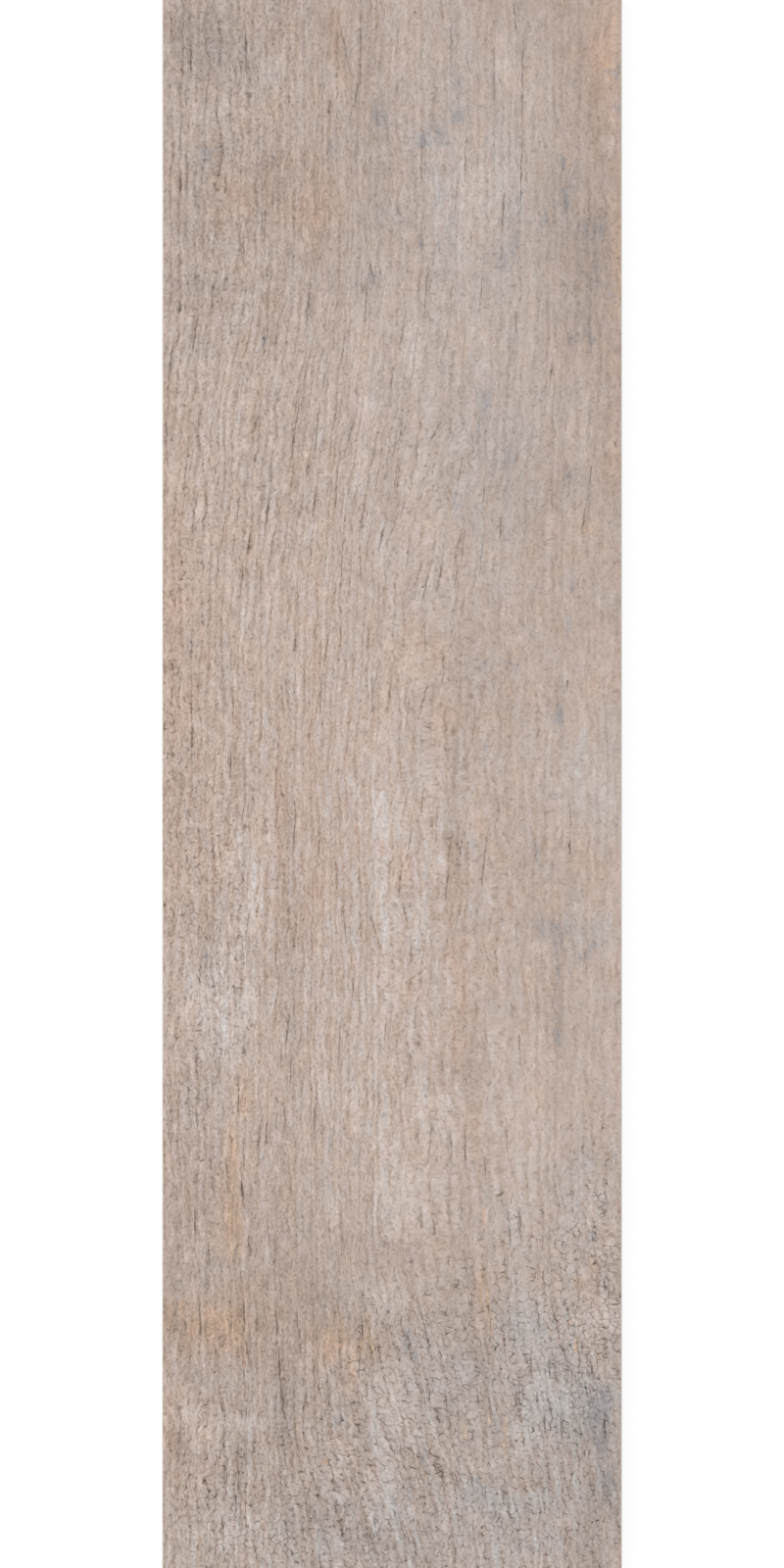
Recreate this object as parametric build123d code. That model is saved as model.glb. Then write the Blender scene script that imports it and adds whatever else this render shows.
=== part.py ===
from build123d import *
import math
import os

# A wood-look porcelain plank tile: one dry-pressed, glazed and fired piece with ground edges.
# It lies face up, as it would on a level floor. X runs across the plank, Y along its grain, and
# Z rises from the plane that the back's ribs stand on. The origin is the centre of that plane.
# All sizes are millimetres and degrees.

# Plank
tile_width = 175.0
tile_length = 600.0
tile_thickness = 8.0

# Ground edges, with 45 degree bevels
face_bevel = 0.4
back_bevel = 1.0

# Keyed back: a lattice of shallow pockets, whose ribs grip the adhesive
pocket_pitch = 25.0
rib_width = 3.0
pocket_depth = 0.7
pocket_corner_clip = 3.0
pocket_wall_slope = 35.0
least_border = 10.0


def pocket_count(side):
    """Pockets that fit along a side of the plank inside its plain border."""
    room = side - 2 * least_border + rib_width
    return max(1, math.floor(room / pocket_pitch))


def rim_edges(body, face):
    """The edges of the body that bound this outer face."""
    rim = face.outer_wire().edges()
    return [edge for edge in body.edges() if any(edge.is_same(other) for other in rim)]


def ground_blank():
    """The plank with its straight sides, the fine bevel at the face and the wider one at the back."""
    blank = Box(
        tile_width,
        tile_length,
        tile_thickness,
        align=(Align.CENTER, Align.CENTER, Align.MIN),
    )
    face_side = blank.faces().sort_by(Axis.Z)[-1]
    blank = chamfer(rim_edges(blank, face_side), face_bevel)
    back_side = blank.faces().sort_by(Axis.Z)[0]
    return chamfer(rim_edges(blank, back_side), back_bevel)


def key_pocket():
    """One pocket as the press punch leaves it: a square with clipped corners and leaning walls."""
    mouth = pocket_pitch - rib_width
    square = Rectangle(mouth, mouth)
    outline = chamfer(square.vertices(), pocket_corner_clip)
    return extrude(outline, amount=pocket_depth, taper=pocket_wall_slope)


def key_pockets():
    """The pockets of the whole back, in a lattice centred on the plank."""
    across = pocket_count(tile_width)
    along = pocket_count(tile_length)
    lattice = GridLocations(pocket_pitch, pocket_pitch, across, along)
    pocket = key_pocket()
    return [place * pocket for place in lattice]


porcelain_tile = ground_blank() - key_pockets()

os.makedirs("parts", exist_ok=True)
export_step(porcelain_tile, "parts/porcelain_tile.step")
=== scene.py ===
import math

import bpy
import numpy as np
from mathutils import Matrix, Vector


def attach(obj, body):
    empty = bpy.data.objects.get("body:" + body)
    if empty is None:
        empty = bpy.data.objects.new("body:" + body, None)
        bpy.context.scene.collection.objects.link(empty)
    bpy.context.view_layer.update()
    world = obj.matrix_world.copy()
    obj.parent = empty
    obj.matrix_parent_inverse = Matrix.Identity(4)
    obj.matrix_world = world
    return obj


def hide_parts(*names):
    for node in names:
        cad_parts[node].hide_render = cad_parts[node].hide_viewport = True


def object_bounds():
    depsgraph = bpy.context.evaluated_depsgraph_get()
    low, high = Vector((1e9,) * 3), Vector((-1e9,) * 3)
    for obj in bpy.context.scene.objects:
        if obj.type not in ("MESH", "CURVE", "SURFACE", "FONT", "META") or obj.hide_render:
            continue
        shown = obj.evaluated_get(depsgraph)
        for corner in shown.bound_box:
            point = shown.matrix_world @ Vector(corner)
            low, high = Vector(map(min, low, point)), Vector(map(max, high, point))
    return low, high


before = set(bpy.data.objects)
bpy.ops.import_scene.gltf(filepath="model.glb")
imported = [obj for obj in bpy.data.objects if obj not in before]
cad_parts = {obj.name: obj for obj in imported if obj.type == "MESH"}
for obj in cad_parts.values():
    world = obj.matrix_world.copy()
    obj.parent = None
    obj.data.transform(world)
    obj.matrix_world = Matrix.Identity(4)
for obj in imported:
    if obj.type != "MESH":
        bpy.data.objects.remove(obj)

# A wood-look porcelain plank tile, lying face up. Everything is in metres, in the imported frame:
# X across the plank, Y along its grain, Z out of the face. Places and sizes that are easier to
# read in millimetres are written so, and turned to metres or used by patterns that work in them.
MM = 0.001
cad_low, cad_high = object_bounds()

# Plank, from the frame
WIDTH = cad_high.x - cad_low.x
LENGTH = cad_high.y - cad_low.y
TOP = cad_high.z

# Ground edges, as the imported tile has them
FACE_BEVEL = 0.4 * MM
BACK_BEVEL = 1.0 * MM

# Keyed back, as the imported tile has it
POCKET_PITCH = 25.0 * MM
RIB_WIDTH = 3.0 * MM
POCKET_DEPTH = 0.7 * MM
POCKET_CORNER = 3.0 * MM
POCKET_WALL_SLOPE = math.radians(35.0)
POCKETS_ACROSS = 6
POCKETS_ALONG = 23

# The face's mesh is finer across the grain than along it, as the grain is
CELLS_ACROSS = 280
CELLS_ALONG = 290

# Depth of the grain that the press stamps into the face, and how far apart its main lines are.
# The finer lines between them are only printed.
GRAIN_DEPTH_MM = 0.15
LINE_GAP_MM = 3.4
FINER_GAP_MM = 2.3
LINE_SEED = 31
FINER_SEED = 35

# Usual width of a cell of the crazed paint, and of its wider plates
CRAZED_CELL_MM = 1.9
PLATE_MM = 2.6

# How much of the plank's length the camera sees
SEEN_LENGTH = 597.0 * MM

# Polygons whose normals rise more than this are the face: those of its bevel rise by 0.71.
FACE_RISE = 0.8

# Side of the flat layout of the skin, in pixels
MAP_SIDE = 1024

# What the printed face shows, place by place. Each row is a soft round or oval patch: its centre
# across and along the plank in millimetres, how far it reaches each way, and how much.

# Grain that leans off straight, in degrees, clockwise seen from above
LEANING_GRAIN = [
    (-50, 165, 60, 28, 8), (-25, 112, 70, 42, 5), (18, 112, 36, 40, 4), (-20, 60, 30, 24, 4),
    (62, -235, 45, 50, -9), (-8, -272, 34, 26, -16), (12, -215, 30, 40, -6),
    (-10, -185, 14, 14, -6),
]

# Lighter and darker wood, in percent
TONES = [
    (0, 310, 200, 70, -3), (0, 0, 200, 190, 1), (10, -60, 50, 110, 2), (70, -150, 40, 60, 2),
    (0, -290, 200, 60, 1), (-80, -238, 8, 12, -2), (-30, -190, 14, 14, -2),
    (-4, -200, 12, 40, -2), (-36, -170, 14, 10, -2), (66, -30, 20, 10, -2), (64, -50, 12, 6, 3),
    (34, -62, 16, 12, 2), (2, -74, 10, 12, 2), (-82, -188, 9, 42, -4), (-66, -62, 14, 34, -3),
    (-80, -68, 10, 14, -2), (10, 76, 14, 26, -3), (-2, 105, 10, 12, -2), (60, -222, 12, 16, -3),
    (32, -254, 10, 26, 3), (78, -285, 14, 14, -3), (-16, -291, 7, 6, 4), (82, 44, 9, 18, 3),
    (82, -52, 9, 24, 2), (80, -110, 10, 12, 3), (-64, 74, 9, 14, 2), (46, 128, 10, 10, -3),
    (46, 210, 10, 10, -2), (-64, 130, 24, 14, -2), (30, -112, 26, 10, -2), (-60, 284, 30, 10, -2),
    (-4, 208, 12, 12, -2), (-32, 215, 18, 22, -4), (-70, 208, 12, 8, -3), (-75, 165, 16, 14, -3),
    (84, 150, 8, 60, -3), (32, 250, 14, 14, 2), (-20, 80, 60, 50, 2), (-40, -112, 40, 20, 2),
    (-45, -180, 26, 14, -3), (-40, -232, 26, 12, -3), (80, -232, 8, 10, 3), (82, -270, 7, 8, -5),
    (-25, -285, 22, 18, -5), (5, -292, 30, 8, -3), (-73, 282, 19, 17, -7), (-58, 229, 30, 14, -6),
    (-75, 187, 17, 9, -6), (-49, 170, 6, 6, -4), (-37, 284, 11, 19, -2), (-6, 250, 7, 30, -4),
    (19, 253, 9, 6, -5), (73, 201, 12, 35, -9), (65, 229, 7, 10, -5), (75, 262, 7, 22, -4),
    (84, 276, 5, 14, 3), (-24, 289, 2.5, 5, -9), (-20, 280, 2.5, 6, -9), (-16, 270, 2.5, 6, -6),
    (-42, 236, 12, 5, -3), (50, -267, 6, 4, -2), (86, -292, 3, 6, -4), (6, 282, 9, 19, 4),
    (26, 284, 17, 15, 2), (41, 276, 7, 9, 4), (30, 220, 15, 22, 6), (52, 257, 7, 19, 3),
    (-11, 157, 5, 22, 5), (9, 168, 4, 19, 4), (34, 168, 15, 22, 4), (-63, 159, 21, 11, 3),
    (11, 97, 13, 34, 4), (-63, 119, 19, 30, 3), (45, 104, 15, 15, -3), (69, 116, 9, 9, -5),
    (-80, 22, 7, 56, -3), (26, 41, 13, 21, -4), (22, 17, 7, 11, -3), (63, 29, 2, 7, -7),
    (-2, 5, 17, 41, 4), (0, -52, 15, 24, 1), (71, 0, 17, 22, 4), (-62, -37, 17, 22, 3),
    (-69, -86, 17, 22, 4), (-55, -45, 4, 17, 5), (-4, -86, 19, 19, 3), (6, -142, 17, 34, 4),
    (48, -131, 11, 41, 4), (-38, -75, 3, 60, -5), (23, -22, 3, 34, -6), (30, -116, 5, 34, -4),
    (58, -54, 7, 5, -5), (64, -86, 2, 13, -6), (-63, -159, 22, 11, -4), (-60, -205, 28, 17, -8),
    (-21, -205, 13, 15, -5), (-40, -243, 4, 19, -9), (-56, -256, 4, 6, -7),
    (-81, -248, 5, 10, -7), (34, -231, 11, 30, -4), (80, -250, 7, 24, -5), (76, -291, 7, 7, -4),
    (-77, -235, 7, 7, 5), (2, -228, 7, 11, 4), (6, -246, 6, 7, 3), (56, -228, 15, 34, 2),
    (50, -250, 50, 50, 1), (-75, -60, 20, 60, 1.5), (81, -230, 7, 10, 4), (80, -204, 9, 8, 4),
    (81, -170, 7, 10, 4), (50, -230, 12, 8, 3), (80, 210, 7, 10, -4), (-80, 210, 8, 9, -4),
    (48, 271, 8, 9, 4), (-16, 250, 8, 9, -3), (-80, 28, 8, 14, 3), (-48, -10, 8, 8, 3),
    (-16, -270, 8, 8, 3), (-56, 110, 36, 9, -3), (-40, 190, 20, 16, -2), (48, -90, 10, 9, -2),
    (0, -150, 8, 9, -2), (0, 150, 8, 8, -2), (64, 190, 8, 8, 2), (32, 250, 14, 30, 1),
    (-75, -247, 7, 8, 4), (-60, -250, 8, 8, -2), (-63, -207, 12, 8, 3), (-84, -246, 3, 9, -6),
    (-81, -255, 3, 7, -5),
]

# Warm wood, above nought, and cool smoke-blue stain, below it
WARMTHS = [
    (-12, 210, 10, 26, -3), (78, 212, 10, 14, 4), (-54, -150, 10, 20, 3), (-80, -250, 8, 20, 3),
    (44, -290, 18, 10, -5), (0, -30, 20, 60, -2), (-82, -100, 10, 200, 3), (-32, 0, 14, 90, 3),
    (48, -160, 14, 20, -5), (10, -235, 26, 24, -4), (-56, -195, 20, 16, 4),
    (25, 200, 34, 110, -4), (-80, 20, 40, 120, 3), (0, -300, 200, 50, -4), (75, -240, 50, 60, -5),
    (81, 279, 8, 25, 16), (-24, 289, 3, 5, 8), (-20, 280, 3, 6, 8), (-17, 270, 3, 6, 6),
    (-38, 287, 6, 5, 7), (-40, 236, 14, 6, 6), (86, -293, 3, 5, 10), (-74, -247, 8, 8, 4),
    (-84, -247, 3, 10, 6), (-72, -130, 14, 12, -3), (-50, -190, 34, 20, 2),
    (-20, -25, 60, 75, 1.5), (-30, -30, 20, 30, 1), (-76, 266, 12, 30, -2), (-62, -205, 14, 8, 3),
    (34, 291, 9, 9, 6), (-21, 287, 3, 15, 7), (-57, 222, 9, 10, 11), (-29, 219, 13, 12, 13),
    (85, 201, 3, 34, 8), (-85, 284, 3, 19, 4), (-84, 60, 6, 75, 5), (-80, 66, 8, 7, 4),
    (-78, 33, 9, 9, 4), (85, 129, 3, 11, 9), (74, 99, 4, 4, 6), (11, 49, 9, 11, 9),
    (19, 24, 5, 11, 9), (72, 37, 5, 4, 6), (81, -32, 9, 5, 8), (4, -32, 4, 7, 6),
    (22, -37, 4, 13, 7), (-27, -43, 4, 10, 7), (26, -86, 5, 26, 7), (30, -127, 4, 19, 7),
    (-56, -116, 4, 10, 8), (-62, -153, 4, 28, 11), (-41, -162, 3, 7, 7), (-70, -207, 16, 10, 13),
    (-22, -212, 11, 10, 12), (-16, -228, 3, 9, 6), (34, -196, 3, 15, 8), (-85, -239, 4, 17, 7),
    (75, -194, 4, 9, 7), (50, -267, 6, 4, 10), (25, -246, 5, 4, 5), (-65, 276, 22, 13, -3),
    (-4, 254, 4, 5, -8), (15, 245, 7, 3, -11), (24, 254, 3, 4, -10), (20, 216, 7, 22, -10),
    (28, 284, 11, 15, -6), (45, 216, 15, 60, -6), (76, 211, 6, 5, -10), (-75, 166, 13, 5, -6),
    (34, 127, 26, 37, -5), (71, 7, 17, 21, -6), (81, -9, 7, 8, -7), (-55, -39, 4, 17, -7),
    (-69, -93, 14, 34, -6), (57, -54, 4, 5, -6), (75, -56, 12, 7, -8), (75, -157, 11, 26, -7),
    (50, -205, 10, 11, -12), (63, -235, 22, 22, -10), (78, -236, 7, 10, -12),
    (19, -220, 19, 34, -4), (47, -272, 26, 8, -9), (32, -269, 6, 5, -10), (-4, -280, 26, 19, -5),
    (-62, -185, 22, 4, -5),
]

# How coarse the grain is, beside the smooth right side
COARSE_GRAIN = [
    (-87, 0, 75, 420, 0.34), (-20, 0, 60, 420, 0.14), (5, -70, 45, 110, 0.1),
    (-65, 275, 34, 40, 0.12), (-60, 60, 40, 70, -0.05), (0, -300, 200, 80, 0.3),
    (75, -170, 24, 30, 0.15),
]

# How brown the dark grain is, beside the rest of the face
BROWN_GRAIN = [
    (0, 290, 200, 90, -0.4), (80, 180, 50, 70, -0.45), (-30, -20, 70, 75, 0.6),
    (0, -60, 36, 60, 0.35), (70, -90, 50, 60, 0.3), (-60, -200, 90, 30, -0.2),
]

# How many open pores there are
OPEN_PORES = [
    (-70, 235, 26, 75, 0.8), (-60, 120, 34, 75, 0.55), (-10, 110, 45, 70, 0.5),
    (-60, -20, 40, 80, 0.3), (0, -80, 50, 90, 0.25), (50, 235, 12, 45, 0.3),
    (-50, -250, 60, 50, 0.3), (50, -220, 45, 60, 0.3),
]

# How far the old paint has crazed
CRAZING = [
    (76, -165, 14, 26, 0.7), (55, -222, 36, 44, 1.3), (45, -190, 24, 26, 0.4),
    (40, -278, 60, 36, 1.1), (5, -225, 28, 30, 0.9), (-6, -203, 16, 20, 0.5),
    (-55, -268, 50, 36, 1.1), (-20, -285, 40, 22, 1.0), (-70, -215, 20, 14, 0.4),
    (78, -132, 12, 12, 0.4), (-80, -128, 14, 24, 0.7), (-70, -90, 20, 40, 0.7),
    (16, -124, 10, 12, 0.4), (-64, -35, 20, 40, 0.8), (-82, 0, 12, 50, 0.8), (7, 284, 9, 9, 0.4),
    (-42, 268, 12, 10, 0.35), (-70, 190, 20, 12, 0.45), (-80, 90, 16, 50, 0.6),
    (0, 60, 60, 60, 0.25),
]

# Where it has crazed into wider plates
PLATES = [
    (79, -204, 13, 11, 1.6), (82, -180, 9, 12, 0.8), (76, -160, 11, 20, 0.7),
    (60, -232, 24, 24, 0.6), (78, -232, 10, 14, 0.6), (22, -262, 22, 16, 0.4),
    (-70, -240, 16, 14, 0.5), (-60, -278, 22, 14, 0.4),
]

# Where limewash still lies on the grain
LIMEWASH = [
    (-44, 272, 3, 9, 1), (-49, 272, 1.5, 8, 0.6), (-23, 268, 2.5, 7, 0.7), (45, 276, 6, 14, 0.2),
    (32, 225, 8, 18, 0.25), (18, 222, 4, 10, 0.4), (83, 243, 4, 4, 0.8), (-80, 206, 4, 4, 0.7),
    (-68, 206, 2, 4, 0.6), (-9, 144, 4, 6, 0.6), (-12, 118, 4, 12, 0.5), (-56, 60, 4, 14, 0.5),
    (-5, 90, 4, 14, 0.5), (8, 165, 4, 14, 0.6), (-52, -42, 3, 12, 1), (-63, -32, 3, 5, 0.8),
    (-57, -22, 5, 6, 0.6), (-64, -66, 3, 12, 0.7), (-54, -85, 4, 8, 0.8), (-62, -95, 4, 12, 0.7),
    (-72, -85, 8, 10, 0.5), (-60, -68, 6, 12, 0.6), (-77, -72, 7, 10, 0.4), (4, -16, 4, 18, 0.6),
    (14, -6, 4, 24, 0.5), (-5, -20, 4, 22, 0.55), (-4, -48, 3, 14, 0.6), (12, -50, 4, 20, 0.45),
    (18, -32, 3, 4, 0.8), (2, -66, 5, 18, 0.35), (36, -45, 2, 10, 0.6), (56, -62, 3, 2, 1),
    (-26, -118, 3, 10, 0.7), (-14, -122, 6, 16, 0.5), (12, -118, 4, 10, 0.6),
    (20, -125, 3, 10, 0.6), (-2, -152, 8, 20, 0.6), (-22, -160, 5, 14, 0.5),
    (8, -165, 8, 16, 0.5), (-48, -172, 1.2, 14, 1), (-78, -178, 3, 6, 0.6),
    (-76, -193, 3, 4, 0.6), (-79, -242, 8, 5, 1), (-72, -250, 6, 6, 0.6),
    (-56, -243, 10, 2.5, 0.9), (-83, -220, 3, 10, 0.6), (-18, -255, 4, 10, 0.6),
    (-5, -240, 5, 14, 0.5), (56, -212, 7, 22, 0.5), (62, -238, 10, 16, 0.45),
    (70, -215, 8, 14, 0.4), (0, -197, 7, 9, 0.8), (0, -232, 9, 12, 0.6), (-3, -272, 9, 18, 0.6),
    (49, -250, 4, 10, 0.6), (79, -203, 8, 6, 1), (81, -178, 5, 4, 0.7), (74, -160, 8, 12, 0.4),
    (-60, -285, 20, 12, 0.5),
]

# Smoke-blue stain, in streaks and blots
STAINS = [
    (12, 246, 3, 5, 0.8), (18, 246, 2.2, 6, 0.8), (25, 254, 3.5, 4, 0.8), (9, 233, 2, 3, 0.6),
    (26, 267, 2.5, 5, 0.6), (18, 222, 2.5, 6, 0.5), (43, 199, 3.5, 4, 0.7), (47, 206, 2, 5, 0.7),
    (65, 237, 1.5, 3, 0.9), (66, 222, 1.6, 5, 1.1), (58, 215, 1.6, 4, 0.9), (73, 213, 2, 5, 0.5),
    (78, 211, 3.5, 5, 0.5), (78, 196, 2, 6, 0.6), (74, 192, 2, 4, 0.5), (86, 258, 3, 3, 0.8),
    (86, 271, 4, 4, 0.6), (-5, 255, 5, 5, 0.5), (3, 263, 4, 3, 0.5), (11, 206, 1.5, 3, 0.7),
    (18, 205, 1.5, 4, 0.6), (68, 168, 3, 3, 0.5), (76, 168, 3, 4, 0.45), (73, 177, 5, 7, 0.5),
    (-71, 239, 3, 6, 0.7), (-47, 238, 4, 5, 0.45), (-23, 243, 2.5, 3, 0.7),
    (-8, 192, 2.5, 4, 0.8), (-49, 168, 2, 6, 0.7), (-4, 215, 3, 6, 0.6), (36, 146, 3, 7, 0.7),
    (44, 124, 6, 8, 0.6), (33, 132, 3, 8, 0.5), (67, 118, 2, 4, 0.7), (25, 105, 4, 8, 0.6),
    (69, 76, 1, 6, 0.7), (67, 60, 1.2, 8, 0.6), (64, 26, 1.4, 4, 1.1), (60, 24, 5, 5, 0.2),
    (36, 14, 1.4, 2.5, 0.9), (36, 45, 2, 4, 0.6), (46, 45, 3, 5, 0.5), (62, -3, 5, 4, 0.35),
    (55, -27, 1.2, 3, 0.8), (57, -55, 4.5, 5, 0.5), (66, -54, 4, 5, 0.5), (63, -63, 2, 9, 0.55),
    (63, -75, 1, 6, 0.5), (63, -96, 1.2, 5, 0.9), (72, -67, 3, 3, 0.6), (76, -62, 3, 4, 0.6),
    (-71, -66, 2, 4, 0.5), (85, -82, 2, 3, 0.6), (76, -172, 3, 3, 0.8), (68, -176, 3, 2, 0.6),
    (5, -213, 3, 6, 0.8), (9, -217, 1.5, 5, 0.8), (33, -271, 5, 9, 0.45), (12, -256, 1.5, 5, 0.7),
    (77, -241, 6, 10, 0.7), (82, -233, 2.5, 5, 0.9), (80, -252, 2, 5, 1), (82, -265, 4, 6, 0.9),
    (58, -272, 2, 4, 0.6), (40, -280, 3, 4, 0.6), (60, -222, 1.5, 4, 0.7), (7, -270, 4, 6, 0.6),
    (-20, -243, 6, 3, 0.6), (-72, -190, 5, 4, 0.5), (-73, -226, 6, 5, 0.5), (64, -243, 2, 8, 0.6),
    (75, -146, 3, 4, 0.6),
]

# Bare oak where the paint has worn off, in splintery patches along the grain
BARE_WOOD = [
    (-62, -172, 1.5, 10, 0.9), (-58, -172, 2.5, 8, 0.8), (-60, -160, 2.5, 8, 0.8),
    (-60, -146, 2, 8, 0.7), (-56, -122, 4, 10, 0.6), (-61, -134, 2, 8, 0.6), (-70, -205, 2, 7, 1),
    (-63, -205, 5, 6, 1.1), (-58, -208, 2, 8, 1), (-61, -214, 4, 3, 0.9), (-56, -217, 1.5, 5, 1),
    (-75, -205, 2, 5, 0.6), (-85, -202, 2.5, 5, 0.9), (-80, -201, 1.5, 5, 0.9),
    (-77, -210, 2, 4, 0.8), (-24, -214, 2.4, 7, 1.2), (-19, -209, 1.5, 7, 0.9),
    (-9, -207, 1.1, 7, 1), (-7, -215, 1.2, 5, 0.8), (-15, -222, 1.2, 8, 0.9),
    (-12, -214, 2, 6, 0.7), (-38, -163, 2, 4, 0.6), (-36, -244, 1.8, 4, 0.6),
    (-26, -258, 3, 2, 0.7), (35, -165, 1, 8, 0.7), (34, -192, 1.2, 9, 0.9),
    (36.5, -199, 0.9, 9, 0.8), (38, -207, 1.3, 5, 0.9), (27.5, -246, 1.2, 5, 0.75),
    (43, -249, 1.6, 8, 0.75), (37, -242, 1, 2.5, 0.7), (71, -190, 1.8, 4, 0.8),
    (76, -184, 1.5, 3, 0.8), (68, -205, 1.2, 3, 0.9), (70, -214, 1.2, 4, 0.9),
    (80, -212, 3, 1.2, 0.6), (75, 97, 3, 3, 0.5), (83, 279, 3, 18, 0.58), (86, 200, 1.5, 26, 0.7),
    (67, 240, 1.2, 8, 0.6),
]

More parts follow.
